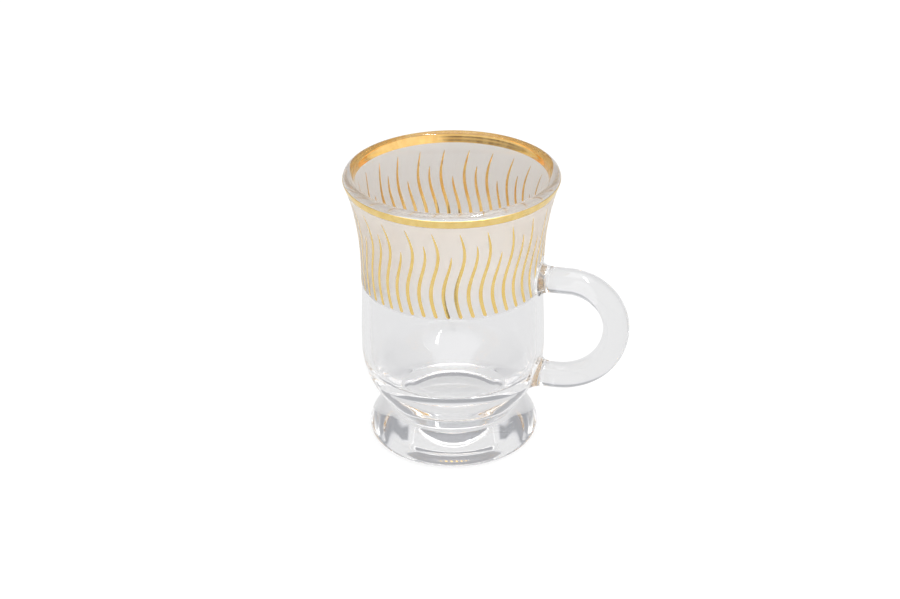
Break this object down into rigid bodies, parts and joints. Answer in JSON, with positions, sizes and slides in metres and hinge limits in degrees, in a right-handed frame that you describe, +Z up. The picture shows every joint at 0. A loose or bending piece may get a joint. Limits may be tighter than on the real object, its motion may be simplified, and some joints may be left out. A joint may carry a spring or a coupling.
{
  "type": "footed glass tea mug",
  "caption": "Footed clear glass tea mug with a flared lip, a pinched waist, a D-shaped glass handle, a frosted band and wavy gold lines; holds hot drinks.",
  "frame": {"origin": "centre of the foot's resting ring, on the table", "axes": "+Z up along the bowl's axis, +X towards the handle"},
  "size_m": [0.0987, 0.0732, 0.1],
  "materials": {
    "clear_glass": "clear polished soda glass",
    "frosted_glass": "satin frosted coat",
    "gold": "bright fired gold"
  },
  "bodies": {
    "root": {"bowl": "clear_glass", "foot": "clear_glass", "handle": "clear_glass", "upper_handle_weld": "clear_glass", "lower_handle_weld": "clear_glass", "frosted_band": "frosted_glass", "gold_rim_band": "gold", "tall_gold_waves": "gold", "medium_gold_waves": "gold", "short_gold_waves": "gold"}
  },
  "joints": []
}
